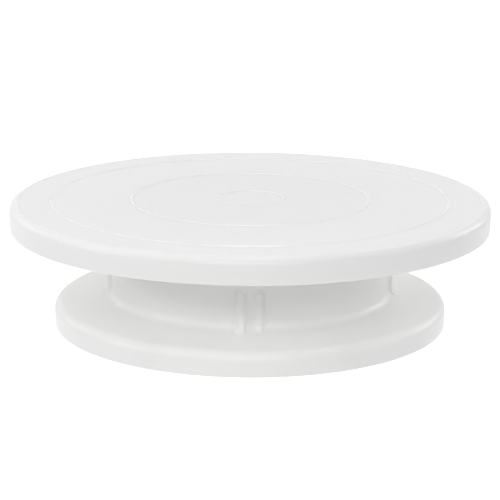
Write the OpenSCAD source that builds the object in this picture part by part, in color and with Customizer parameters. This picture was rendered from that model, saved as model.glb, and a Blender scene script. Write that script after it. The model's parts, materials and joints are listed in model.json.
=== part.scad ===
// Cake turntable: a shallow round platter that turns on a caged ball race on top of a wide
// drum base. Origin at the centre of the footprint, on the table. +Z is the turning axis.
// All sizes in millimetres.

/* [Overall] */
// Height of the platter's flat top above the table
top_z = 73.4; // [72:0.2:78]

/* [Platter] */
// Diameter of the platter over its rim
platter_d = 280; // [272:2:300]
// Thickness of the platter's disc
plate_t = 2.6; // [2.4:0.1:2.8]
// Depth of the rim below the flat top
rim_h = 14.9; // [13:0.1:16]
// Radius of the rounded edge between the top and the rim
edge_round = 4.5; // [3:0.5:5]
// Thickness of the rim's wall
rim_t = 2.2; // [1.8:0.1:2.6]
// How far the rim leans in at its lower edge
rim_lean = 0.2; // [0:0.1:1.5]
// Radius of the inner guide ring on the top
inner_ring_r = 19.5; // [15:0.5:30]
// Radius of the middle guide ring on the top
middle_ring_r = 69.1; // [60:0.1:80]
// Radius of the outer guide ring on the top
outer_ring_r = 115.4; // [105:0.1:125]
// Width of a guide ring
ring_w = 1.6; // [0.6:0.1:1.8]
// Height of a guide ring above the flat top
ring_h = 0.45; // [0.2:0.05:0.5]

/* [Base] */
// Diameter of the base at its foot
foot_d = 230; // [224:2:240]
// Height of the foot's upright wall
foot_wall_h = 8.6; // [8:0.2:10]
// Radius of the rounded shoulder above the foot's wall
shoulder_round = 5.5; // [4:0.5:6]
// Diameter of the drum
drum_d = 162; // [160:1:166]
// Thickness of the base's walls
wall = 2.5; // [2:0.1:2.8]
// How far a stiffening rib stands out of the drum
rib_out = 3; // [2:0.2:4.8]
// Width of a stiffening rib on the drum
rib_w = 3.8; // [3:0.2:5]
// Distance between the two ribs of a pair, centre to centre
rib_pitch = 9.8; // [8:0.2:13]
// Height of the drum's ribs above the table
rib_top_z = 38.9; // [34:0.1:44]

/* [Ball race] */
// Number of steel balls
ball_count = 16; // [12:4:20]
// Diameter of a ball
ball_d = 8; // [7.6:0.1:8]
// Radius of the circle that the balls run on
pitch_r = 72; // [71:0.5:72.5]

/* [Hub] */
// Diameter of the spindle
spindle_d = 8; // [7.6:0.1:8]
// Radial running clearance of the spindle in its bushes
spindle_play = 0.05; // [0.02:0.01:0.1]

/* [Rubber feet] */
// Number of feet
foot_count = 6; // [3:3:6]
// Diameter of a foot's pad
pad_d = 15; // [12:1:15]
// How far the feet stand below the base's rim
foot_proud = 0.8; // [0.5:0.1:1.2]

/* [Hidden] */
$fn = 96;
eps = 0.01;

// platter
platter_r = platter_d / 2;
under_z = top_z - plate_t;
rim_z = top_z - rim_h;
rim_ring_r = platter_r - edge_round - 0.4;
under_rib_t = 1.6;
outer_rib_count = 24;
inner_rib_count = 12;
boss_r = 17;

// ball race: the deck below and the race above mirror each other about the balls' centres
ball_r = ball_d / 2;
race_gap = 0.15;
groove_r = ball_r + 0.3;
half_race = 2.6;
race_half_w = 5.5;
ball_z = under_z - 6.4;
deck_z = ball_z - half_race;
race_z = ball_z + half_race;
under_rib_h = under_z - race_z;
cage_t = 3.2;
cage_half_w = 6;
pocket_r = ball_r + 0.2;

// base
foot_r = foot_d / 2;
drum_r = drum_d / 2;
drum_lean = 0.4;
drum_foot_round = 5;
shoulder_z = foot_proud + foot_wall_h;
flange_z = shoulder_z + shoulder_round;
flange_rise = 1.8;
drum_foot_z = flange_z + flange_rise;
flange_under_z = flange_z - wall;
flange_bite = 0.6;
deck_t = 4;
deck_under_z = deck_z - deck_t;
deck_round = 2;
deck_rib_count = 16;
deck_rib_h = 6;
deck_ring_r = 44;
flange_rib_count = 12;
inner_wall_z = foot_proud + 3.2;
rib_pair_count = 4;

// hub
spindle_r = spindle_d / 2;
bush_r = 6.5;
bush_flange_r = 8.8;
bush_flange_t = 1.4;
bush_len = 10;
hub_r = 10;
hub_z = deck_z - 21.8;
slide_gap = 0.05;
thrust_t = 0.8;
spindle_flange_t = 2.2;
spindle_flange_z = deck_z + bush_flange_t + thrust_t + 2 * slide_gap;
boss_z = spindle_flange_z + spindle_flange_t;
spigot_h = 3.5;
washer_t = 1;
washer_z = hub_z - bush_flange_t - slide_gap - washer_t;
clip_t = 1;
clip_z = washer_z - slide_gap - clip_t;
clip_groove_r = spindle_r - 0.8;
clip_mouth = 100;
spindle_end_z = clip_z - 2.2;
cap_wall = 2;
cap_z = spindle_end_z - 1 - cap_wall;
cap_grip = 6;

// spindle screws
screw_count = 3;
screw_pitch_r = 12.6;
screw_r = 1.2;
screw_head_r = 2.75;
screw_head_h = 1.6;
screw_len = 6.5;

// rubber feet
pad_r = pad_d / 2;
pad_t = 1.8;
stem_r = 3;
stem_h = 6;
column_r = pad_r + 1.7;
foot_pitch_r = foot_r - 11;

ball_names = [for (i = [1:ball_count]) str("bearing_ball_", i)];
foot_names = [for (i = [1:foot_count]) str("rubber_foot_", i)];

// Points along an arc about c, from angle a0 to a1
function arc(c, r, a0, a1, n = 8) =
    [for (i = [0:n]) let (a = a0 + (a1 - a0) * i / n) c + r * [cos(a), sin(a)]];

// Copies of a shape, evenly spaced about the turning axis
module around(count, start = 0) {
    for (i = [0:count - 1])
        rotate([0, 0, start + i * 360 / count])
            children();
}

// A straight wall along a radius, from r0 to r1
module radial_wall(r0, r1, t, z0, z1) {
    translate([r0, -t / 2, z0])
        cube([r1 - r0, t, z1 - z0]);
}

// A flat ring about the turning axis
module ring(r_in, r_out, z0, t) {
    translate([0, 0, z0])
        difference() {
            cylinder(r = r_out, h = t);
            translate([0, 0, -eps])
                cylinder(r = r_in, h = t + 2 * eps);
        }
}

// A flanged bush: a tube that ends in a flange, with its flange at the top
module flanged_bush() {
    difference() {
        union() {
            translate([0, 0, -bush_len])
                cylinder(r = bush_r - 0.02, h = bush_len);
            cylinder(r = bush_flange_r, h = bush_flange_t);
        }
        translate([0, 0, -bush_len - eps])
            cylinder(r = spindle_r + spindle_play, h = bush_len + bush_flange_t + 2 * eps);
    }
}

// Section of a guide ring, standing on the flat top
module guide_ring(r, w = ring_w, h = ring_h) {
    translate([r, top_z])
        polygon([[-w / 2, -0.1], [-w / 2, 0], [-w / 4, h], [w / 4, h], [w / 2, 0], [w / 2, -0.1]]);
}

module platter_section() {
    lower_r = platter_r - rim_lean;
    difference() {
        union() {
            polygon(concat(
                [[0, under_z], [0, top_z]],
                arc([platter_r - edge_round, top_z - edge_round], edge_round, 90, 0),
                [[lower_r, rim_z + 0.5], [lower_r - 0.4, rim_z],
                 [lower_r - rim_t + 0.3, rim_z], [lower_r - rim_t, rim_z + 0.4],
                 [platter_r - rim_t - 0.4, under_z]]
            ));
            guide_ring(inner_ring_r);
            guide_ring(middle_ring_r);
            guide_ring(outer_ring_r);
            guide_ring(rim_ring_r, ring_w * 0.45, ring_h * 0.45);
            translate([pitch_r - race_half_w, race_z])
                square([2 * race_half_w, under_z - race_z + eps]);
            translate([0, boss_z])
                square([boss_r, under_z - boss_z + eps]);
            for (r = [pitch_r + 26, pitch_r + 46])
                translate([r - under_rib_t / 2, under_z - under_rib_h])
                    square([under_rib_t, under_rib_h + eps]);
            translate([(boss_r + pitch_r - race_half_w - under_rib_t) / 2, under_z - under_rib_h])
                square([under_rib_t, under_rib_h + eps]);
        }
        translate([pitch_r, ball_z + ball_r + race_gap - groove_r])
            circle(r = groove_r);
    }
}

// Moulded platter, ribbed underneath, with the upper half of the ball race
module platter() {
    color("white")
        difference() {
            union() {
                rotate_extrude()
                    platter_section();
                around(outer_rib_count, 7.5)
                    radial_wall(pitch_r + race_half_w - 1, platter_r - rim_t - 0.2, under_rib_t,
                                under_z - under_rib_h, under_z + eps);
                around(inner_rib_count)
                    radial_wall(boss_r - 1, pitch_r - race_half_w + 1, under_rib_t,
                                under_z - under_rib_h, under_z + eps);
            }
            translate([0, 0, boss_z - eps])
                cylinder(r = spindle_r + 0.02, h = spigot_h + 0.2);
            around(screw_count)
                translate([screw_pitch_r, 0, boss_z - eps])
                    cylinder(r = screw_r + 0.05, h = screw_len - spindle_flange_t + 0.3);
        }
}

// Steel spindle with the flange that carries it under the platter
module spindle() {
    color("silver")
        difference() {
            union() {
                translate([0, 0, spindle_end_z])
                    cylinder(r1 = spindle_r - 0.6, r2 = spindle_r, h = 0.6);
                translate([0, 0, spindle_end_z + 0.6])
                    cylinder(r = spindle_r, h = boss_z + spigot_h - spindle_end_z - 0.6);
                translate([0, 0, spindle_flange_z])
                    cylinder(r = boss_r - 1, h = spindle_flange_t);
            }
            ring(clip_groove_r, spindle_r + 1, clip_z - 0.05, clip_t + 0.1);
            around(screw_count)
                translate([screw_pitch_r, 0, spindle_flange_z - eps])
                    cylinder(r = screw_r + 0.2, h = spindle_flange_t + 2 * eps);
        }
}

// Three pan-head screws that hold the spindle's flange up against the platter's boss
module spindle_screws() {
    color("silver")
        around(screw_count)
            translate([screw_pitch_r, 0, spindle_flange_z])
                difference() {
                    union() {
                        cylinder(r = screw_r, h = screw_len);
                        translate([0, 0, -screw_head_h * 0.5])
                            cylinder(r = screw_head_r, h = screw_head_h * 0.5);
                        translate([0, 0, -screw_head_h])
                            cylinder(r1 = screw_head_r - 0.8, r2 = screw_head_r,
                                     h = screw_head_h * 0.5);
                    }
                    for (a = [0, 90])
                        rotate([0, 0, a])
                            translate([-1.4, -0.3, -screw_head_h - eps])
                                cube([2.8, 0.6, 0.9]);
                }
}

// Nylon washer between the upper bush and the spindle's flange
module thrust_washer() {
    color("ivory")
        ring(spindle_r + spindle_play, bush_flange_r - 0.4,
             deck_z + bush_flange_t + slide_gap, thrust_t);
}

// Steel washer under the lower bush
module retaining_washer() {
    color("silver")
        ring(spindle_r + spindle_play, bush_flange_r - 0.8, washer_z, washer_t);
}

// Spring clip in the spindle's groove, open on one side
module retaining_clip() {
    color("dimgray")
        difference() {
            ring(clip_groove_r + 0.05, spindle_r + 2, clip_z, clip_t);
            rotate([0, 0, -clip_mouth / 2])
                translate([0, 0, clip_z - eps])
                    rotate_extrude(angle = clip_mouth)
                        square([spindle_r + 3, clip_t + 2 * eps]);
        }
}

// Moulded ring that keeps the balls apart
module ball_cage() {
    color("ivory")
        difference() {
            ring(pitch_r - cage_half_w, pitch_r + cage_half_w, ball_z - cage_t / 2, cage_t);
            around(ball_count)
                translate([pitch_r, 0, ball_z - cage_t])
                    cylinder(r = pocket_r, h = 2 * cage_t);
        }
}

module bearing_ball(i) {
    color("silver")
        rotate([0, 0, (i - 1) * 360 / ball_count])
            translate([pitch_r, 0, ball_z])
                sphere(r = ball_r);
}

module base_section() {
    flange_slope = flange_rise / (foot_r - shoulder_round - drum_r - drum_foot_round);
    difference() {
        polygon(concat(
            [[foot_r - wall, foot_proud], [foot_r - 0.3, foot_proud], [foot_r, foot_proud + 0.3]],
            arc([foot_r - shoulder_round, shoulder_z], shoulder_round, 0, 90),
            arc([drum_r + drum_foot_round, drum_foot_z + drum_foot_round],
                drum_foot_round, 270 - atan(flange_slope), 180),
            arc([drum_r - drum_lean - deck_round, deck_z - deck_round], deck_round, 0, 90),
            [[bush_r, deck_z], [bush_r, hub_z], [hub_r, hub_z], [hub_r, deck_under_z],
             [drum_r - wall - drum_lean, deck_under_z], [drum_r - wall, inner_wall_z],
             [drum_r, inner_wall_z], [drum_r, flange_under_z], [foot_r - wall, flange_under_z]]
        ));
        translate([pitch_r, ball_z - ball_r - race_gap + groove_r])
            circle(r = groove_r);
    }
}

// Rounded upright rib on the outside of the drum
module drum_rib() {
    nose_r = rib_w / 2;
    nose_x = drum_r + rib_out - nose_r;
    straight_z = rib_top_z - nose_r;
    translate([drum_r - 1.2, -nose_r, flange_z])
        cube([nose_x - drum_r + 1.2, rib_w, straight_z - flange_z]);
    translate([nose_x, 0, flange_z])
        cylinder(r = nose_r, h = straight_z - flange_z);
    translate([drum_r - 1.2, 0, straight_z])
        rotate([0, 90, 0])
            cylinder(r = nose_r, h = nose_x - drum_r + 1.2);
    translate([nose_x, 0, straight_z])
        sphere(r = nose_r);
    translate([nose_x, 0, drum_foot_z - 0.6])
        cylinder(r1 = nose_r + 1.6, r2 = nose_r, h = 3);
}

// Moulded base: foot, flange, drum, deck with the lower half of the race, and hub
module base() {
    color("white")
        difference() {
            union() {
                rotate_extrude()
                    base_section();
                around(deck_rib_count, 11.25)
                    radial_wall(hub_r - 1, drum_r - wall, under_rib_t,
                                deck_under_z - deck_rib_h, deck_under_z + eps);
                ring(deck_ring_r - under_rib_t, deck_ring_r, deck_under_z - deck_rib_h,
                     deck_rib_h + eps);
                around(flange_rib_count)
                    radial_wall(drum_r - 1, foot_r - wall + 1, under_rib_t,
                                inner_wall_z, flange_under_z + flange_bite);
                around(foot_count)
                    translate([foot_pitch_r, 0, pad_t])
                        cylinder(r = column_r, h = flange_under_z + flange_bite - pad_t);
                around(rib_pair_count)
                    for (y = [-rib_pitch / 2, rib_pitch / 2])
                        translate([0, y, 0])
                            drum_rib();
            }
            around(foot_count)
                translate([foot_pitch_r, 0, pad_t - eps])
                    cylinder(r = stem_r + 0.02, h = stem_h + 0.5);
        }
}

// Nylon bush in the top of the hub
module upper_bush() {
    color("ivory")
        translate([0, 0, deck_z])
            flanged_bush();
}

// Nylon bush in the bottom of the hub
module lower_bush() {
    color("ivory")
        translate([0, 0, hub_z])
            mirror([0, 0, 1])
                flanged_bush();
}

// Cap pushed over the bottom of the hub, round the spindle's end
module hub_cap() {
    color("white")
        difference() {
            translate([0, 0, cap_z])
                cylinder(r = hub_r + cap_wall, h = hub_z + cap_grip - cap_z);
            translate([0, 0, cap_z + cap_wall])
                cylinder(r = hub_r + 0.02, h = hub_z + cap_grip - cap_z);
        }
}

// Rubber foot: a pad with a stem that plugs into its column in the base
module rubber_foot(i) {
    color("dimgray")
        rotate([0, 0, (i - 1) * 360 / foot_count])
            translate([foot_pitch_r, 0, 0]) {
                cylinder(r1 = pad_r - 0.5, r2 = pad_r, h = 0.5);
                translate([0, 0, 0.5])
                    cylinder(r = pad_r, h = pad_t - 0.5);
                cylinder(r = stem_r, h = pad_t + stem_h);
            }
}

platter();
spindle();
spindle_screws();
thrust_washer();
retaining_washer();
retaining_clip();
ball_cage();
base();
upper_bush();
lower_bush();
hub_cap();
for (i = [1:ball_count])
    bearing_ball(i);
for (i = [1:foot_count])
    rubber_foot(i);
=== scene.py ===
import json
import math

import bmesh
import bpy
from mathutils import Matrix, Quaternion, Vector


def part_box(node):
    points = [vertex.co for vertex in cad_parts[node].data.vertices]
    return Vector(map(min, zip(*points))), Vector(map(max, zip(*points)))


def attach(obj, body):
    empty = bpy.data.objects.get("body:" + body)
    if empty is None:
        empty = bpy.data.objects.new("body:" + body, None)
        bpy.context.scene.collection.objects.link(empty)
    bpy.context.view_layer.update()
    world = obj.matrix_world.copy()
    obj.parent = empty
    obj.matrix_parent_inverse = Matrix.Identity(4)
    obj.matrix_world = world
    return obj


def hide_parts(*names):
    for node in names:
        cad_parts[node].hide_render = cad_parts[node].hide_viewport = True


# The looks of a cake turntable: a moulded platter and base in white gloss plastic, with steel,
# nylon and rubber inner parts. Shapes are in millimetres, about the turning axis, until a mesh
# is made in metres.

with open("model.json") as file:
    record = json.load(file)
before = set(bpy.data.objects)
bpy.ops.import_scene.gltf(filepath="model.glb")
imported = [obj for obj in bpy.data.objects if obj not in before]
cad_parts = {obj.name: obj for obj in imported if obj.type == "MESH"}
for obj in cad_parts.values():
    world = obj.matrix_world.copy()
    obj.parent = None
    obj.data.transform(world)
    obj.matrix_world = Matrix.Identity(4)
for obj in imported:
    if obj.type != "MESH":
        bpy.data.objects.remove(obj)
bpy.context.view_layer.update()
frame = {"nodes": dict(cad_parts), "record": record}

MM = 0.001


def box_mm(node):
    """Lowest and highest corner of a CAD node, in mm."""
    low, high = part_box(node)
    return low / MM, high / MM


PLATTER_LOW, PLATTER_HIGH = box_mm("platter")
BASE_LOW, BASE_HIGH = box_mm("base")
BALL_LOW, BALL_HIGH = box_mm("bearing_ball_1")
CAP_LOW, CAP_HIGH = box_mm("hub_cap")
FOOT_LOW, FOOT_HIGH = box_mm("rubber_foot_1")

# Balls and race
BALL_R = (BALL_HIGH.z - BALL_LOW.z) / 2
BALL_Z = (BALL_HIGH.z + BALL_LOW.z) / 2
PITCH_R = (BALL_HIGH.x + BALL_LOW.x) / 2
RACE_GAP = 0.15
GROOVE_R = BALL_R + 0.3
HALF_RACE = BALL_Z - BASE_HIGH.z
RACE_HALF_W = 5.5
RACE_STEPS = 12

# Platter
PLATTER_R = PLATTER_HIGH.x
RING_H = 0.45
TOP_Z = PLATTER_HIGH.z - RING_H
PLATE_T = 2.6
UNDER_Z = TOP_Z - PLATE_T
RIM_Z = PLATTER_LOW.z
RIM_T = 2.2
RIM_LEAN = 0.2
RIM_INSIDE_R = PLATTER_R - RIM_T - 0.4
RIM_FOOT_ROUND = 0.5
EDGE_ROUND = 4.5
EDGE_STEPS = 16
GUIDE_RING_RADII = (19.5, 69.1, 115.4)
RING_W = 1.6
RING_ROUND = 0.3
RING_CREST_SHARE = 0.1  # half the crest's width, as a share of the ring's
EDGE_RING_R = PLATTER_R - EDGE_ROUND - 0.4
EDGE_RING_SHARE = 0.45
EDGE_RING_ROUND = 0.15
RACE_Z = BALL_Z + HALF_RACE
BOSS_R = 17
SPINDLE_TOP_Z = box_mm("spindle")[1].z
BOSS_Z = SPINDLE_TOP_Z - 3.5
BORE_R = 4.02
BORE_TOP_Z = SPINDLE_TOP_Z + 0.2
RIB_T = 1.6
RIB_TAPER = 0.15
HOOP_TAPER = 0.1
RIB_TIP_Z = RACE_Z
INNER_HOOP_R = (BOSS_R + PITCH_R - RACE_HALF_W) / 2
OUTER_HOOP_RADII = (PITCH_R + 26, PITCH_R + 46)
OUTER_RIB_COUNT = 24
INNER_RIB_COUNT = 12
PLATTER_SECTIONS = 336

# Base
FOOT_WALL_R = BASE_HIGH.x
FOOT_WALL_Z = BASE_LOW.z
WALL = 2.5
DECK_Z = BASE_HIGH.z
DECK_T = 4
DECK_UNDER_Z = DECK_Z - DECK_T
DECK_ROUND = 2
SHOULDER_ROUND = 5.5
SHOULDER_STEPS = 12
SHOULDER_TOP_Z = FOOT_WALL_Z + 8.6 + SHOULDER_ROUND
FLANGE_RISE = 1.8
DRUM_R = 81
DRUM_LEAN = 0.4
DRUM_FOOT_ROUND = 5
DRUM_FOOT_Z = SHOULDER_TOP_Z + FLANGE_RISE
FLANGE_UNDER_Z = SHOULDER_TOP_Z - WALL
INNER_WALL_Z = FOOT_WALL_Z + 3.2
HUB_R = 10
HUB_Z = box_mm("lower_bush")[0].z + 1.4
BUSH_R = 6.5
DECK_RIB_COUNT = 16
DECK_RIB_TIP_Z = DECK_UNDER_Z - 6
DECK_HOOP_R = 44
FLANGE_RIB_COUNT = 12

# Ribs on the outside of the drum
PAIR_COUNT = 4
PAIR_STEP = math.tau / PAIR_COUNT
RIB_PITCH = 9.8
RIB_OUT = 3.0
RIB_TOP_Z = 38.9
RIB_HALF_W = 2.0
RIB_SQUARENESS = 3
NOSE_SHARE = 0.5  # share of RIB_OUT in the blunt nose; the rest is in the soft root under it
RIB_CREST = 1.2  # where the root starts to slope, off the rib's middle
RIB_REACH = 4.2  # where the root ends
RIB_FLARE = 0.8  # how much wider the rib is at the drum's foot, as a share
RIB_FLARE_H = 4

# Heights of the drum wall's vertices: at the ribs' flared feet, their middle and their noses
FLARE_LEVELS = 8
FLARE_LEVEL_GAP = 1.6
FLARE_LEVEL_STEP = 0.8
RIB_MIDDLE_Z = 32
NOSE_LEVELS = 18
NOSE_LEVEL_DROP = 4
NOSE_LEVEL_STEP = 0.35
ABOVE_RIBS_Z = 50

# Sections of the base: from each pair's middle to its end, and in the gap between pairs
RIB_ZONE = 10.5
ZONE_STEPS = 50
GAP_STEPS = 46

# Rubber feet
FOOT_COUNT = 6
FOOT_R = (FOOT_HIGH.y - FOOT_LOW.y) / 2
FOOT_PITCH_R = (FOOT_HIGH.x + FOOT_LOW.x) / 2
FOOT_PAD_T = 1.8
STEM_R = 3
STEM_FIT = 0.02
STEM_END_GAP = 0.5
COLUMN_R = FOOT_R + 1.7
COLUMN_SIDES = 48
STEM_HOLE_SIDES = 47  # shares no factor with COLUMN_SIDES, so their corners don't line up
FOOT_SIDES = 64
FOOT_ROUND_STEPS = 3
GRIP_GROOVE_RADII = (3.6, 5.4)

# Hub cap
CAP_FIT = 0.02
CAP_FLOOR_T = 2
CAP_SECTIONS = 96
DIMPLE_R = 2.2
DIMPLE_DEPTH = 0.5

# Joints between solids: how far ribs and columns reach into the part that carries them
ROOT_DEPTH = 0.5
FLANGE_ROOT_DEPTH = 0.6
END_DEPTH = 1
RIM_DEPTH = 0.2

SMALL_ROUND = 0.3
INSIDE_ROUND = 1
ROUND_STEPS = 5
ON_AXIS = 1e-6
SHARP_ANGLE = math.radians(32)


# ---------------------------------------------------------------- outlines and meshes

def arc(centre, radius, start, end, steps):
    """Corners along an arc about centre, from start to end in degrees."""
    angles = [math.radians(start + (end - start) * i / steps) for i in range(steps + 1)]
    return [(centre[0] + radius * math.cos(a), centre[1] + radius * math.sin(a), 0) for a in angles]


def rounded(corners, steps=ROUND_STEPS):
    """An outline through (x, y, rounding) corners, each rounded off to its own radius."""
    outline = []
    for i, (x, y, rounding) in enumerate(corners):
        corner = Vector((x, y))
        if rounding == 0:
            outline.append(corner)
            continue
        before = (Vector(corners[i - 1][:2]) - corner).normalized()
        after = (Vector(corners[(i + 1) % len(corners)][:2]) - corner).normalized()
        half = before.angle(after) / 2
        centre = corner + (before + after).normalized() * (rounding / math.sin(half))
        start = corner + before * (rounding / math.tan(half)) - centre
        end = corner + after * (rounding / math.tan(half)) - centre
        first = math.atan2(start.y, start.x)
        turn = (math.atan2(end.y, end.x) - first + math.pi) % math.tau - math.pi
        for step in range(steps + 1):
            angle = first + turn * step / steps
            outline.append(centre + rounding * Vector((math.cos(angle), math.sin(angle))))
    return outline


def bump_on(radius, level, width, height, rounding):
    """Corners of a low ridge round a level face, with a narrow crest."""
    foot, crest = width / 2, width * RING_CREST_SHARE
    return [
        (radius - foot, level, rounding),
        (radius - crest, level + height, rounding),
        (radius + crest, level + height, rounding),
        (radius + foot, level, rounding),
    ]


def hoop(radius, root_z, tip_z):
    """Corners of a round stiffening rib that hangs from a face."""
    half, tip_half = RIB_T / 2, RIB_T / 2 - HOOP_TAPER
    return [
        (radius - half, root_z, SMALL_ROUND),
        (radius - tip_half, tip_z, SMALL_ROUND),
        (radius + tip_half, tip_z, SMALL_ROUND),
        (radius + half, root_z, SMALL_ROUND),
    ]


def even_angles(count):
    """Angles of evenly spaced sections, in radians."""
    return [math.tau * i / count for i in range(count)]


def new_object(name, mesh):
    """A scene object from a bmesh in mm, with outward faces."""
    bmesh.ops.recalc_face_normals(mesh, faces=mesh.faces)
    mesh.transform(Matrix.Scale(MM, 4))
    data = bpy.data.meshes.new(name)
    mesh.to_mesh(data)
    mesh.free()
    piece = bpy.data.objects.new(name, data)
    bpy.context.scene.collection.objects.link(piece)
    return piece


def turned(name, outline_at, angles, closed=True):
    """A solid about the turning axis: the outline at each angle, joined to the next angle's.
    An outline that isn't closed starts and ends on the axis."""
    mesh = bmesh.new()
    poles = {}
    columns = []
    for angle in angles:
        column = []
        for row, point in enumerate(outline_at(angle)):
            if point.x > ON_AXIS:
                x, y = point.x * math.cos(angle), point.x * math.sin(angle)
                column.append(mesh.verts.new((x, y, point.y)))
                continue
            if row not in poles:
                poles[row] = mesh.verts.new((0, 0, point.y))
            column.append(poles[row])
        columns.append(column)
    for this, following in zip(columns, columns[1:] + columns[:1]):
        for row in range(len(this) if closed else len(this) - 1):
            after = (row + 1) % len(this)
            corners = dict.fromkeys((this[row], following[row], following[after], this[after]))
            if len(corners) > 2:
                mesh.faces.new(corners)
    return new_object(name, mesh)


def add_prism(mesh, outline, start, end, angle):
    """A bar with the outline (across, height) as its section, along the radius at an angle."""
    place = Matrix.Rotation(angle, 4, "Z")
    rings = [[mesh.verts.new(place @ Vector((x, p.x, p.y))) for p in outline] for x in (start, end)]
    mesh.faces.new(rings[0])
    mesh.faces.new(rings[1])
    for i in range(len(outline)):
        j = (i + 1) % len(outline)
        mesh.faces.new((rings[0][i], rings[0][j], rings[1][j], rings[1][i]))


def add_rib_ring(mesh, section, start, end, count, offset=0.0):
    """Straight ribs round the axis, evenly spaced, turned on by offset spaces."""
    for i in range(count):
        add_prism(mesh, section, start, end, math.tau * (i + offset) / count)


def add_post(mesh, outline, x, angle, sides):
    """A solid of revolution about an upright line at distance x along the radius at an angle.
    Its outline starts and ends on that line."""
    place = Matrix.Rotation(angle, 4, "Z") @ Matrix.Translation((x, 0, 0))
    low = mesh.verts.new(place @ Vector((0, 0, outline[0].y)))
    high = mesh.verts.new(place @ Vector((0, 0, outline[-1].y)))
    columns = []
    for turn in even_angles(sides):
        side = Vector((math.cos(turn), math.sin(turn), 0))
        points = [place @ (side * p.x + Vector((0, 0, p.y))) for p in outline[1:-1]]
        columns.append([mesh.verts.new(point) for point in points])
    for this, following in zip(columns, columns[1:] + columns[:1]):
        mesh.faces.new((low, this[0], following[0]))
        mesh.faces.new((high, this[-1], following[-1]))
        for row in range(len(this) - 1):
            mesh.faces.new((this[row], following[row], following[row + 1], this[row + 1]))


def rib_section(root_z, tip_z):
    """Section of a straight stiffening rib: a little thicker at its root, with a rounded tip."""
    half, tip_half = RIB_T / 2, RIB_T / 2 - RIB_TAPER
    return rounded([
        (half, root_z, 0),
        (-half, root_z, 0),
        (-tip_half, tip_z, SMALL_ROUND),
        (tip_half, tip_z, SMALL_ROUND),
    ])


def combine(piece, other, operation):
    """Joins the other solid to the piece, or cuts it away, and removes the other solid."""
    cut = piece.modifiers.new("combine", "BOOLEAN")
    cut.operation = operation
    cut.solver = "MANIFOLD"
    cut.object = other
    graph = bpy.context.evaluated_depsgraph_get()
    data = bpy.data.meshes.new_from_object(piece.evaluated_get(graph))
    piece.modifiers.clear()
    piece.data = data
    bpy.data.objects.remove(other)


def finish_piece(piece, body, slot, nodes):
    """Smooth shading, finish, and place in the frame."""
    soften(piece)
    paint(piece, slot)
    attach(piece, body)
    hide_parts(*nodes)


def soften(piece):
    """Shades a piece smooth, but for its sharp edges, and keeps its broad faces flat."""
    piece.data.shade_smooth()
    piece.data.set_sharp_from_angle(angle=SHARP_ANGLE)
    weighted = piece.modifiers.new("weighted", "WEIGHTED_NORMAL")
    weighted.keep_sharp = True


# ---------------------------------------------------------------- materials

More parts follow.
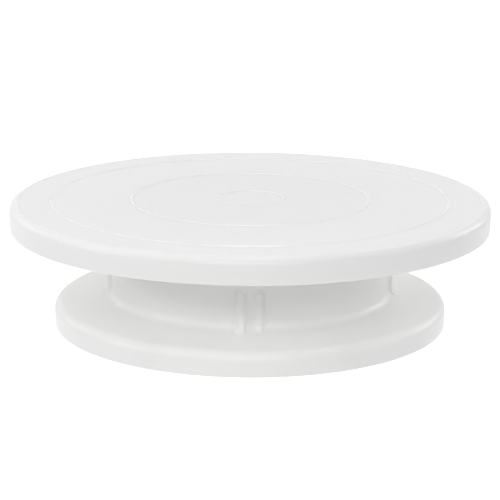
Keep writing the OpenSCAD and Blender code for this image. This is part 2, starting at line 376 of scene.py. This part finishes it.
class Finish:
    """A material under construction: a Principled shader and the nodes that feed it."""

    def __init__(self, name):
        self.material = bpy.data.materials.new(name)
        self.material.use_nodes = True
        self.tree = self.material.node_tree
        self.shader = self.tree.nodes["Principled BSDF"]
        self.place = self.tree.nodes.new("ShaderNodeTexCoord").outputs["Object"]
        self.bump = None

    def link(self, source, socket):
        """Feeds a socket from a node's output, or sets it to a plain value."""
        if hasattr(source, "is_output"):
            self.tree.links.new(source, socket)
        else:
            socket.default_value = source

    def noise(self, scale, detail=2.0, stretch=(1, 1, 1), distortion=0.0):
        """Noise at a scale in repeats per metre."""
        mapping = self.tree.nodes.new("ShaderNodeMapping")
        mapping.inputs["Scale"].default_value = stretch
        self.link(self.place, mapping.inputs["Vector"])
        node = self.tree.nodes.new("ShaderNodeTexNoise")
        node.inputs["Scale"].default_value = scale
        node.inputs["Detail"].default_value = detail
        node.inputs["Distortion"].default_value = distortion
        self.link(mapping.outputs["Vector"], node.inputs["Vector"])
        return node.outputs["Fac"]

    def turning_marks(self, scale, distortion):
        """Rings about the turning axis, as a lathe leaves them."""
        node = self.tree.nodes.new("ShaderNodeTexWave")
        node.wave_type = "RINGS"
        node.rings_direction = "Z"
        node.inputs["Scale"].default_value = scale
        node.inputs["Distortion"].default_value = distortion
        node.inputs["Detail"].default_value = 3.0
        node.inputs["Detail Scale"].default_value = 4.0
        self.link(self.place, node.inputs["Vector"])
        return node.outputs["Fac"]

    def remap(self, source, low, high, to_low, to_high):
        """The source's range low to high, as the range to_low to to_high."""
        node = self.tree.nodes.new("ShaderNodeMapRange")
        self.link(source, node.inputs["Value"])
        for name, value in zip(("From Min", "From Max", "To Min", "To Max"), (low, high, to_low, to_high)):
            node.inputs[name].default_value = value
        return node.outputs["Result"]

    def fade(self, source, start, end, to_start=0, to_end=1):
        """A length in metres, as a fade that begins at start and is over at end, both in mm."""
        return self.remap(source, start * MM, end * MM, to_start, to_end)

    def height(self):
        """Height above the table, in metres."""
        node = self.tree.nodes.new("ShaderNodeSeparateXYZ")
        self.link(self.place, node.inputs[0])
        return node.outputs["Z"]

    def from_axis(self):
        """Distance from the turning axis, in metres."""
        split = self.tree.nodes.new("ShaderNodeSeparateXYZ")
        self.link(self.place, split.inputs[0])
        flat = self.tree.nodes.new("ShaderNodeCombineXYZ")
        self.link(split.outputs["X"], flat.inputs["X"])
        self.link(split.outputs["Y"], flat.inputs["Y"])
        node = self.tree.nodes.new("ShaderNodeVectorMath")
        node.operation = "LENGTH"
        self.link(flat.outputs[0], node.inputs[0])
        return node.outputs["Value"]

    def edges(self, low, high):
        """0 on flat faces and 1 along the outer edges."""
        geometry = self.tree.nodes.new("ShaderNodeNewGeometry")
        return self.remap(geometry.outputs["Pointiness"], low, high, 0, 1)

    def mix(self, share, a, b):
        """Colour a where the share is 0 and b where it is 1."""
        node = self.tree.nodes.new("ShaderNodeMix")
        node.data_type = "RGBA"
        self.link(share, node.inputs[0])
        self.link(a, node.inputs[6])
        self.link(b, node.inputs[7])
        return node.outputs[2]

    def clouds(self, scale, detail, low, high, a, b):
        """Colour a with soft patches of colour b."""
        return self.mix(self.remap(self.noise(scale, detail), low, high, 0, 1), a, b)

    def worn(self, low, high, share, colour, worn_colour):
        """The colour, with a share of the worn colour along the outer edges."""
        return self.mix(self.remap(self.edges(low, high), 0, 1, 0, share), colour, worn_colour)

    def math(self, operation, a, b):
        """Two values put together by one of Blender's Math operations."""
        node = self.tree.nodes.new("ShaderNodeMath")
        node.operation = operation
        self.link(a, node.inputs[0])
        self.link(b, node.inputs[1])
        return node.outputs[0]

    def add_bump(self, height, strength, distance):
        """One more layer of fine relief, with its depth in metres."""
        node = self.tree.nodes.new("ShaderNodeBump")
        node.inputs["Strength"].default_value = strength
        node.inputs["Distance"].default_value = distance
        self.link(height, node.inputs["Height"])
        if self.bump:
            self.link(self.bump, node.inputs["Normal"])
        self.bump = node.outputs["Normal"]

    def done(self, colour, roughness, **values):
        """Connects the colour, roughness and relief, and sets the shader's plain values."""
        self.link(colour, self.shader.inputs["Base Color"])
        self.link(roughness, self.shader.inputs["Roughness"])
        if self.bump:
            self.link(self.bump, self.shader.inputs["Normal"])
        for name, value in values.items():
            self.shader.inputs[name.replace("_", " ")].default_value = value
        return self.material


def grey(value, warmth=0.0):
    """A near-neutral colour, a little warmer with more warmth."""
    return (value, value * (1 - 0.4 * warmth), value * (1 - warmth), 1)


def off_white(value, tint):
    """Near-white resin, with a faint green-yellow tint."""
    return (value * (1 - 0.2 * tint), value, value * (1 - tint), 1)


def painted_rib_highlight(finish):
    """1 on the drum's ribs, which are painted paler where they stand out, as a painted highlight, and 0
    everywhere else.
    """
    standing_out = finish.fade(finish.from_axis(), DRUM_R + 0.2, DRUM_R + 1.2)
    above_foot = finish.fade(finish.height(), DRUM_FOOT_Z + 1, DRUM_FOOT_Z + 6)
    below_top = finish.fade(finish.height(), RIB_TOP_Z + 1, RIB_TOP_Z + 2, 1, 0)
    return finish.math("MULTIPLY", finish.math("MULTIPLY", standing_out, above_foot), below_top)


def painted_rim_highlight(finish):
    """1 round the platter's upper edge, which is painted paler as a painted highlight, and 0 everywhere
    else.
    """
    flat_r = PLATTER_R - EDGE_ROUND
    outside = finish.fade(finish.from_axis(), flat_r - 0.8, flat_r - 0.2)
    upper = finish.fade(finish.height(), TOP_Z - 3, TOP_Z - 1)
    return finish.math("MULTIPLY", outside, upper)


def white_plastic():
    """Gloss moulded polypropylene: faint mottling, flow marks, orange peel, paler rubbed edges, guide ring
    crests polished smoother and painted paler as a painted highlight, and a painted highlight on the
    drum's ribs and the platter's upper edge."""
    finish = Finish("white_plastic")
    painted_highlight_white = off_white(0.99, 0.008)
    mottled = finish.clouds(14, 2, 0.25, 0.75, off_white(0.923, 0.016), off_white(0.929, 0.013))
    flow = finish.noise(6, 3, stretch=(1, 1, 4), distortion=0.4)
    marked = finish.mix(finish.remap(flow, 0.4, 0.8, 0, 0.3), mottled, off_white(0.918, 0.018))
    colour = finish.worn(0.53, 0.62, 0.4, marked, off_white(0.94, 0.012))
    # The guide rings' crests are painted paler as a painted highlight; their lower roughness further down
    # is real polish.
    crest_highlight_and_polish = finish.fade(finish.height(), TOP_Z + 0.04, TOP_Z + 0.14)
    colour = finish.mix(crest_highlight_and_polish, colour, off_white(0.985, 0.008))
    # The drum's ribs and the platter's upper edge are painted paler: a painted highlight.
    for highlight_mask in (painted_rib_highlight(finish), painted_rim_highlight(finish)):
        colour = finish.mix(highlight_mask, colour, painted_highlight_white)
    wear = finish.remap(finish.noise(60, 3), 0.3, 0.75, 0.29, 0.36)
    polished = finish.remap(crest_highlight_and_polish, 0, 1, 0, -0.14)
    finish.add_bump(finish.noise(180, 1), 0.012, 0.0001)
    return finish.done(colour, finish.math("ADD", wear, polished), IOR=1.49,
                       Subsurface_Weight=0.35, Subsurface_Scale=0.0025, Subsurface_Radius=(1, 1, 1))


def nylon():
    """Natural nylon: cream, a little waxy, with a fine matt grain."""
    finish = Finish("nylon")
    cloudy = finish.clouds(60, 3, 0.3, 0.7, grey(0.70, 0.12), grey(0.64, 0.17))
    colour = finish.worn(0.52, 0.6, 0.5, cloudy, grey(0.78, 0.1))
    roughness = finish.remap(finish.noise(300, 3), 0.3, 0.7, 0.42, 0.56)
    finish.add_bump(finish.noise(1500, 3), 0.25, 0.00008)
    return finish.done(colour, roughness, IOR=1.53, Subsurface_Weight=0.15, Subsurface_Scale=0.0015)


def steel():
    """Turned, zinc-plated steel: rings left by the lathe, cloudy plating, brighter edges."""
    finish = Finish("steel")
    plating = finish.clouds(90, 4, 0.35, 0.7, grey(0.58, -0.02), grey(0.66, 0.03))
    colour = finish.worn(0.52, 0.6, 0.6, plating, grey(0.78, -0.01))
    lathe_marks = finish.turning_marks(1400, 1.5)
    roughness = finish.remap(lathe_marks, 0, 1, 0.26, 0.38)
    finish.add_bump(lathe_marks, 0.2, 0.00005)
    return finish.done(colour, roughness, Metallic=1.0)


def spring_steel():
    """Blackened spring steel with a thin film of oil and bright worn edges."""
    finish = Finish("spring_steel")
    oily = finish.clouds(150, 4, 0.3, 0.7, grey(0.12, -0.1), grey(0.2, 0.05))
    colour = finish.worn(0.52, 0.6, 0.7, oily, grey(0.45, -0.02))
    roughness = finish.remap(finish.noise(400, 3), 0.3, 0.7, 0.28, 0.44)
    finish.add_bump(finish.noise(1200, 3), 0.2, 0.00005)
    return finish.done(colour, roughness, Metallic=1.0)


def ball_steel():
    """Ground and polished bearing steel, with faint random scratches and a thin film of grease."""
    finish = Finish("ball_steel")
    film = finish.noise(160, 3)
    colour = finish.mix(finish.remap(film, 0.35, 0.7, 0, 1), grey(0.74, -0.02), grey(0.66, 0.02))
    roughness = finish.remap(film, 0.3, 0.8, 0.05, 0.16)
    finish.add_bump(finish.noise(900, 3, stretch=(1, 12, 1)), 0.06, 0.00003)
    return finish.done(colour, roughness, Metallic=1.0)


def rubber():
    """Dark grey moulded rubber: matt, dusty, paler where it rubs."""
    finish = Finish("rubber")
    dusty = finish.clouds(120, 4, 0.35, 0.75, grey(0.07, 0.02), grey(0.12, 0.06))
    colour = finish.worn(0.52, 0.6, 0.5, dusty, grey(0.2, 0.05))
    roughness = finish.remap(finish.noise(500, 3), 0.3, 0.7, 0.62, 0.82)
    finish.add_bump(finish.noise(1400, 4), 0.5, 0.0001)
    return finish.done(colour, roughness, IOR=1.5)


FINISHES = {
    "white_plastic": white_plastic(),
    "nylon": nylon(),
    "steel": steel(),
    "spring_steel": spring_steel(),
    "ball_steel": ball_steel(),
    "rubber": rubber(),
}


def paint(piece, slot):
    """Gives a piece one finish all over."""
    piece.data.materials.clear()
    piece.data.materials.append(FINISHES[slot])


# ---------------------------------------------------------------- platter

def groove(centre_z, lower):
    """Corners of the race's groove: in the deck below the balls, or in the platter above them."""
    half_w = math.sqrt(GROOVE_R ** 2 - (centre_z - (DECK_Z if lower else RACE_Z)) ** 2)
    reach = math.degrees(math.asin(half_w / GROOVE_R))
    middle = 270 if lower else 90
    turn = -reach if lower else reach
    return arc((PITCH_R, centre_z), GROOVE_R, middle - turn, middle + turn, RACE_STEPS)


def under_platter():
    """Corners of the platter's underside, from the spindle's bore out to the rim's foot."""
    race_in, race_out = PITCH_R - RACE_HALF_W, PITCH_R + RACE_HALF_W
    race_groove = groove(BALL_Z + BALL_R + RACE_GAP - GROOVE_R, lower=False)
    corners = [(0, BORE_TOP_Z, 0), (BORE_R, BORE_TOP_Z, SMALL_ROUND), (BORE_R, BOSS_Z, SMALL_ROUND)]
    corners += [(BOSS_R, BOSS_Z, SMALL_ROUND), (BOSS_R, UNDER_Z, SMALL_ROUND)]
    corners += hoop(INNER_HOOP_R, UNDER_Z, RIB_TIP_Z)
    corners += [(race_in, UNDER_Z, SMALL_ROUND), (race_in, RACE_Z, SMALL_ROUND)]
    corners += race_groove[::-1]
    corners += [(race_out, RACE_Z, SMALL_ROUND), (race_out, UNDER_Z, SMALL_ROUND)]
    for radius in OUTER_HOOP_RADII:
        corners += hoop(radius, UNDER_Z, RIB_TIP_Z)
    corners.append((RIM_INSIDE_R, UNDER_Z, INSIDE_ROUND))
    return corners


def platter_outline():
    """Half section of the platter, from the spindle's bore round the rim to the top's centre."""
    rim_foot_r = PLATTER_R - RIM_LEAN
    lean = math.degrees(math.atan2(RIM_LEAN, TOP_Z - EDGE_ROUND - RIM_Z))
    edge_centre = (PLATTER_R - EDGE_ROUND, TOP_Z - EDGE_ROUND)
    edge_ring_w, edge_ring_h = RING_W * EDGE_RING_SHARE, RING_H * EDGE_RING_SHARE
    corners = under_platter()
    corners += [(rim_foot_r - RIM_T, RIM_Z, RIM_FOOT_ROUND), (rim_foot_r, RIM_Z, RIM_FOOT_ROUND)]
    corners += arc(edge_centre, EDGE_ROUND, -lean, 90, EDGE_STEPS)
    corners += bump_on(EDGE_RING_R, TOP_Z, edge_ring_w, edge_ring_h, EDGE_RING_ROUND)[::-1]
    for radius in reversed(GUIDE_RING_RADII):
        corners += bump_on(radius, TOP_Z, RING_W, RING_H, RING_ROUND)[::-1]
    corners.append((0, TOP_Z, 0))
    return rounded(corners)


def platter_ribs():
    """The straight ribs under the platter, on both sides of the race."""
    mesh = bmesh.new()
    section = rib_section(UNDER_Z + ROOT_DEPTH, RIB_TIP_Z)
    race_in, race_out = PITCH_R - RACE_HALF_W, PITCH_R + RACE_HALF_W
    add_rib_ring(mesh, section, race_out - END_DEPTH, RIM_INSIDE_R + RIM_DEPTH, OUTER_RIB_COUNT, 0.5)
    add_rib_ring(mesh, section, BOSS_R - END_DEPTH, race_in + END_DEPTH, INNER_RIB_COUNT)
    return new_object("platter_ribs", mesh)


def make_platter():
    """Platter with its rim, guide rings, race and underside ribs, as one moulding."""
    outline = platter_outline()
    angles = even_angles(PLATTER_SECTIONS)
    platter = turned("platter_shell", lambda angle: outline, angles, closed=False)
    combine(platter, platter_ribs(), "UNION")
    finish_piece(platter, "platter", "white_plastic", ["platter"])


# ---------------------------------------------------------------- base

def smooth_step(low, high, value):
    """0 up to low, 1 from high on, and a smooth rise in between."""
    share = min(1.0, max(0.0, (value - low) / (high - low)))
    return share * share * (3 - 2 * share)


def drum_rib(angle, z):
    """How far the drum's ribs stand out there: soft-sided pairs, round at the top, flared at the foot."""
    off_pair = (angle + PAIR_STEP / 2) % PAIR_STEP - PAIR_STEP / 2
    across = abs(abs(DRUM_R * math.sin(off_pair)) - RIB_PITCH / 2)
    above = max(0.0, z - (RIB_TOP_Z - RIB_HALF_W))
    flare = 1 + RIB_FLARE * math.exp(-max(0.0, z - DRUM_FOOT_Z) / RIB_FLARE_H)
    off_middle = math.hypot(across / flare, above)
    nose = max(0.0, 1 - (off_middle / RIB_HALF_W) ** RIB_SQUARENESS) ** (1 / RIB_SQUARENESS)
    root = 1 - smooth_step(RIB_CREST, RIB_REACH, off_middle)
    return RIB_OUT * (NOSE_SHARE * nose + (1 - NOSE_SHARE) * root)


def drum_wall_levels():
    """Heights at which the drum's wall has vertices: close together where its ribs start and end."""
    foot_z = DRUM_FOOT_Z + DRUM_FOOT_ROUND + FLARE_LEVEL_GAP
    flare_levels = [foot_z + FLARE_LEVEL_STEP * i for i in range(FLARE_LEVELS)]
    top_levels = [RIB_TOP_Z - NOSE_LEVEL_DROP + NOSE_LEVEL_STEP * i for i in range(NOSE_LEVELS)]
    return flare_levels + [RIB_MIDDLE_Z] + top_levels + [ABOVE_RIBS_Z]


DRUM_WALL_LEVELS = drum_wall_levels()


def base_outside(angle):
    """Corners of the base's outside at an angle, from the foot's rim up to the deck's edge."""
    shoulder_r = FOOT_WALL_R - SHOULDER_ROUND
    slope = FLANGE_RISE / (shoulder_r - DRUM_R - DRUM_FOOT_ROUND)
    drum_foot_r = DRUM_R + drum_rib(angle, DRUM_FOOT_Z + DRUM_FOOT_ROUND)
    corner_z = SHOULDER_TOP_Z + slope * (shoulder_r - drum_foot_r)
    lean = DRUM_LEAN / (DECK_Z - DRUM_FOOT_Z)
    corners = [(FOOT_WALL_R - WALL, FOOT_WALL_Z, SMALL_ROUND), (FOOT_WALL_R, FOOT_WALL_Z, SMALL_ROUND)]
    corners += arc((shoulder_r, SHOULDER_TOP_Z - SHOULDER_ROUND), SHOULDER_ROUND, 0, 90, SHOULDER_STEPS)
    corners.append((drum_foot_r, corner_z, DRUM_FOOT_ROUND))
    for z in DRUM_WALL_LEVELS:
        corners.append((DRUM_R - lean * (z - DRUM_FOOT_Z) + drum_rib(angle, z), z, 0))
    corners.append((DRUM_R - DRUM_LEAN, DECK_Z, DECK_ROUND))
    return corners


def under_base():
    """Corners of the base's hub and inside, from the race down to the inside of the foot's wall."""
    corners = groove(BALL_Z - BALL_R - RACE_GAP + GROOVE_R, lower=True)
    corners += [(BUSH_R, DECK_Z, SMALL_ROUND), (BUSH_R, HUB_Z, SMALL_ROUND), (HUB_R, HUB_Z, SMALL_ROUND)]
    corners.append((HUB_R, DECK_UNDER_Z, INSIDE_ROUND))
    corners += hoop(DECK_HOOP_R - RIB_T / 2, DECK_UNDER_Z, DECK_RIB_TIP_Z)
    corners.append((DRUM_R - WALL - DRUM_LEAN, DECK_UNDER_Z, INSIDE_ROUND))
    corners += [(DRUM_R - WALL, INNER_WALL_Z, SMALL_ROUND), (DRUM_R, INNER_WALL_Z, SMALL_ROUND)]
    corners.append((DRUM_R, FLANGE_UNDER_Z, INSIDE_ROUND))
    corners.append((FOOT_WALL_R - WALL, FLANGE_UNDER_Z, INSIDE_ROUND))
    return corners


def base_outline(angle):
    """Section of the base at an angle, from the foot's rim up the outside and back underneath."""
    return rounded(base_outside(angle) + under_base())


def base_angles():
    """Angles of the base's sections: close together across each pair of ribs, wider between pairs."""
    zone = math.asin(RIB_ZONE / DRUM_R)
    fine = [math.asin(RIB_ZONE / DRUM_R * i / ZONE_STEPS) for i in range(-ZONE_STEPS, ZONE_STEPS + 1)]
    gap = PAIR_STEP - 2 * zone
    coarse = [zone + gap * i / GAP_STEPS for i in range(1, GAP_STEPS)]
    return [PAIR_STEP * pair + angle for pair in range(PAIR_COUNT) for angle in fine + coarse]


def base_ribs():
    """The straight ribs under the deck, and those between the drum and the foot's wall."""
    mesh = bmesh.new()
    deck_section = rib_section(DECK_UNDER_Z + ROOT_DEPTH, DECK_RIB_TIP_Z)
    flange_section = rib_section(FLANGE_UNDER_Z + FLANGE_ROOT_DEPTH, INNER_WALL_Z)
    wall_in_r = FOOT_WALL_R - WALL + END_DEPTH
    add_rib_ring(mesh, deck_section, HUB_R - END_DEPTH, DRUM_R - WALL, DECK_RIB_COUNT, 0.5)
    add_rib_ring(mesh, flange_section, DRUM_R - END_DEPTH, wall_in_r, FLANGE_RIB_COUNT)
    return new_object("base_ribs", mesh)


def foot_posts(name, radius, low_z, high_z, rounding, sides):
    """The same upright cylinder at every rubber foot, with its lower edge rounded."""
    outline = rounded([(0, low_z, 0), (radius, low_z, rounding), (radius, high_z, 0), (0, high_z, 0)])
    mesh = bmesh.new()
    for angle in even_angles(FOOT_COUNT):
        add_post(mesh, outline, FOOT_PITCH_R, angle, sides)
    return new_object(name, mesh)


def make_base():
    """Base with its foot, drum, deck, hub and ribs, and the columns that hold the rubber feet."""
    base = turned("base_shell", base_outline, base_angles())
    columns = foot_posts("foot_columns", COLUMN_R, FOOT_PAD_T, FLANGE_UNDER_Z + FLANGE_ROOT_DEPTH,
                         SMALL_ROUND, COLUMN_SIDES)
    stem_holes = foot_posts("stem_holes", STEM_R + STEM_FIT, FOOT_PAD_T - END_DEPTH,
                            FOOT_HIGH.z + STEM_END_GAP, 0, STEM_HOLE_SIDES)
    combine(base, base_ribs(), "UNION")
    combine(base, columns, "UNION")
    combine(base, stem_holes, "DIFFERENCE")
    finish_piece(base, "base", "white_plastic", ["base"])


# ---------------------------------------------------------------- hub cap and rubber feet

def make_hub_cap():
    """Cap with a rounded bottom and the small dimple of its moulding gate."""
    cap_r = CAP_HIGH.x
    inner_r = HUB_R + CAP_FIT
    floor_z = CAP_LOW.z + CAP_FLOOR_T
    dimple_z = CAP_LOW.z + DIMPLE_DEPTH
    outline = rounded([
        (0, dimple_z, 0),
        (DIMPLE_R - 0.6, dimple_z, 0.2),
        (DIMPLE_R, CAP_LOW.z, 0.2),
        (cap_r, CAP_LOW.z, 1.2),
        (cap_r, CAP_HIGH.z, 0.6),
        (inner_r, CAP_HIGH.z, 0.4),
        (inner_r, floor_z, 0.8),
        (0, floor_z, 0),
    ])
    cap = turned("hub_cap_shell", lambda angle: outline, even_angles(CAP_SECTIONS), closed=False)
    finish_piece(cap, "base", "white_plastic", ["hub_cap"])


def grip_groove(radius):
    """Corners of a shallow groove in the underside of a rubber foot."""
    return [
        (radius - 0.45, 0, 0.08),
        (radius - 0.25, 0.3, 0.08),
        (radius + 0.25, 0.3, 0.08),
        (radius + 0.45, 0, 0.08),
    ]


def rubber_foot_outline():
    """Half section of a foot: a rounded pad with a dimple and two grooves underneath, and a stem."""
    stem_top = FOOT_HIGH.z
    corners = [(0, 0.25, 0), (1.4, 0.25, 0.1), (1.9, 0, 0.1)]
    for radius in GRIP_GROOVE_RADII:
        corners += grip_groove(radius)
    corners += [(FOOT_R, 0, 0.5), (FOOT_R, FOOT_PAD_T, 0.25), (STEM_R, FOOT_PAD_T, 0.2)]
    corners += [(STEM_R, stem_top, 0.6), (0, stem_top, 0)]
    return rounded(corners, FOOT_ROUND_STEPS)


def make_rubber_feet():
    """The six rubber feet, each plugged into its column."""
    outline = rubber_foot_outline()
    for i, angle in enumerate(even_angles(FOOT_COUNT), 1):
        mesh = bmesh.new()
        add_post(mesh, outline, FOOT_PITCH_R, angle, FOOT_SIDES)
        foot = new_object(f"rubber_foot_pad_{i}", mesh)
        finish_piece(foot, "base", "rubber", [f"rubber_foot_{i}"])


def finish_cad_nodes():
    """Finishes for the inner parts that keep their CAD shape."""
    slots = {part["node"]: part["material_slot"] for part in frame["record"]["subparts"]}
    for name, node in frame["nodes"].items():
        if not node.hide_render:
            paint(node, slots[name])
            soften(node)


# ---------------------------------------------------------------- studio

CAMERA_DISTANCE = 1.072
CAMERA_ELEVATION = math.radians(12.68)
CAMERA_AIM = Vector((0, 0, 0.042))
CAMERA_ROLL = math.radians(0.25)
CAMERA_LENS = 132
CAMERA_SENSOR = 36
LIGHT_AIM = Vector((0, 0, 0.05))
LIGHT_COLOUR = (0.995, 0.992, 1.0)
LIGHT_REACH = 2  # each softbox stands this many times as far away, and is as much larger
WORLD_EVEN = 0.1
WORLD_BEHIND = 0.91
WORLD_BELOW = 1.13
FLOOR_R = 60  # metres
FLOOR_SIDES = 96
FLOOR_GLOW = 0.6


def make_camera():
    """Camera in front of the turntable and a little above it, rolled very slightly."""
    data = bpy.data.cameras.new("camera")
    data.sensor_width = CAMERA_SENSOR
    data.lens = CAMERA_LENS
    camera = bpy.data.objects.new("camera", data)
    back = Vector((0, -math.cos(CAMERA_ELEVATION), math.sin(CAMERA_ELEVATION)))
    camera.location = Vector((0, 0, TOP_Z * MM)) + back * CAMERA_DISTANCE
    camera.rotation_mode = "QUATERNION"
    aim = (CAMERA_AIM - camera.location).to_track_quat("-Z", "Y")
    camera.rotation_quaternion = aim @ Quaternion((0, 0, 1), CAMERA_ROLL)
    bpy.context.scene.collection.objects.link(camera)
    bpy.context.scene.camera = camera


def make_softbox(name, place, width, height, power):
    """A softbox that faces the turntable: metres and watts, before LIGHT_REACH moves it out."""
    data = bpy.data.lights.new(name, "AREA")
    data.shape = "RECTANGLE"
    data.size = width * LIGHT_REACH
    data.size_y = height * LIGHT_REACH
    data.energy = power * LIGHT_REACH ** 2
    data.color = LIGHT_COLOUR
    light = bpy.data.objects.new(name, data)
    light.location = LIGHT_AIM + (Vector(place) - LIGHT_AIM) * LIGHT_REACH
    light.rotation_mode = "QUATERNION"
    light.rotation_quaternion = (LIGHT_AIM - light.location).to_track_quat("-Z", "Y")
    bpy.context.scene.collection.objects.link(light)


def make_lights():
    """Softboxes all round, strongest in front and to the left."""
    make_softbox("front", (0, -1.7, 1.0), 1.6, 0.4, 5.6)
    make_softbox("front_high", (0, -1.5, 1.2), 1.4, 0.4, 4.1)
    make_softbox("front_low", (0, -1.9, 0.45), 1.6, 0.3, 6.3)
    make_softbox("front_left", (-1.2, -1.2, 1.0), 0.8, 0.5, 3.4)
    make_softbox("front_right", (1.2, -1.2, 1.0), 0.8, 0.5, 0.5)
    make_softbox("left", (-1.8, -0.5, 0.7), 0.8, 0.4, 5.7)
    make_softbox("left_high", (-1.5, -0.3, 1.2), 0.8, 0.4, 1.1)
    make_softbox("right", (1.8, -0.5, 0.7), 0.8, 0.4, 4.0)
    make_softbox("back_left", (-1.5, 1.0, 0.6), 1.0, 0.6, 2.0)
    make_softbox("back_right", (1.5, 1.0, 0.6), 1.0, 0.6, 5.0)
    make_softbox("top", (0, 0, 1.6), 0.5, 0.5, 3.3)
    make_softbox("top_left", (-0.55, 0.1, 1.0), 0.4, 0.4, 1.0)


def make_world():
    """White surroundings, whose light on the turntable comes mostly from behind and from below."""
    world = bpy.data.worlds.new("studio")
    world.use_nodes = True
    tree = world.node_tree
    background = tree.nodes["Background"]
    background.inputs["Color"].default_value = LIGHT_COLOUR + (1,)
    direction = tree.nodes.new("ShaderNodeSeparateXYZ")
    coordinates = tree.nodes.new("ShaderNodeTexCoord")
    tree.links.new(coordinates.outputs["Generated"], direction.inputs[0])
    glow = tree.nodes.new("ShaderNodeMath")
    glow.operation = "ADD"
    for socket, axis, end, low, high in (
        (0, "Y", 1, WORLD_EVEN, WORLD_EVEN + WORLD_BEHIND),
        (1, "Z", -1, 0, WORLD_BELOW),
    ):
        ramp = tree.nodes.new("ShaderNodeMapRange")
        tree.links.new(direction.outputs[axis], ramp.inputs["Value"])
        ramp.inputs["From Min"].default_value = 0
        ramp.inputs["From Max"].default_value = end
        ramp.inputs["To Min"].default_value = low
        ramp.inputs["To Max"].default_value = high
        tree.links.new(ramp.outputs["Result"], glow.inputs[socket])
    # Past the floor's edge the camera sees plain white.
    seen = tree.nodes.new("ShaderNodeMath")
    seen.operation = "MAXIMUM"
    tree.links.new(glow.outputs[0], seen.inputs[0])
    light_path = tree.nodes.new("ShaderNodeLightPath")
    tree.links.new(light_path.outputs["Is Camera Ray"], seen.inputs[1])
    tree.links.new(seen.outputs[0], background.inputs["Strength"])
    bpy.context.scene.world = world


def studio_floor():
    """Pale seamless paper, lit through so that it stays near white, and clear from underneath."""
    finish = Finish("studio_floor")
    colour = finish.mix(finish.noise(3, 2), grey(0.9), grey(0.92))
    finish.add_bump(finish.noise(700, 3), 0.05, 0.0001)
    material = finish.done(colour, 0.9, Emission_Color=grey(1), Emission_Strength=FLOOR_GLOW)
    nodes = finish.tree.nodes
    one_sided = nodes.new("ShaderNodeMixShader")
    finish.link(nodes.new("ShaderNodeNewGeometry").outputs["Backfacing"], one_sided.inputs[0])
    finish.link(finish.shader.outputs[0], one_sided.inputs[1])
    finish.link(nodes.new("ShaderNodeBsdfTransparent").outputs[0], one_sided.inputs[2])
    finish.link(one_sided.outputs[0], nodes["Material Output"].inputs["Surface"])
    return material


def make_floor():
    """A floor that the turntable stands on, but that neither lights nor darkens it."""
    mesh = bmesh.new()
    bmesh.ops.create_circle(mesh, cap_ends=True, segments=FLOOR_SIDES, radius=FLOOR_R / MM)
    floor = new_object("floor", mesh)
    floor.data.materials.append(studio_floor())
    floor.visible_diffuse = False
    floor.visible_glossy = False
    floor.visible_shadow = False


make_platter()
make_base()
make_hub_cap()
make_rubber_feet()
finish_cad_nodes()
make_camera()
make_world()
make_floor()
make_lights()
bpy.context.scene.view_settings.view_transform = "Standard"
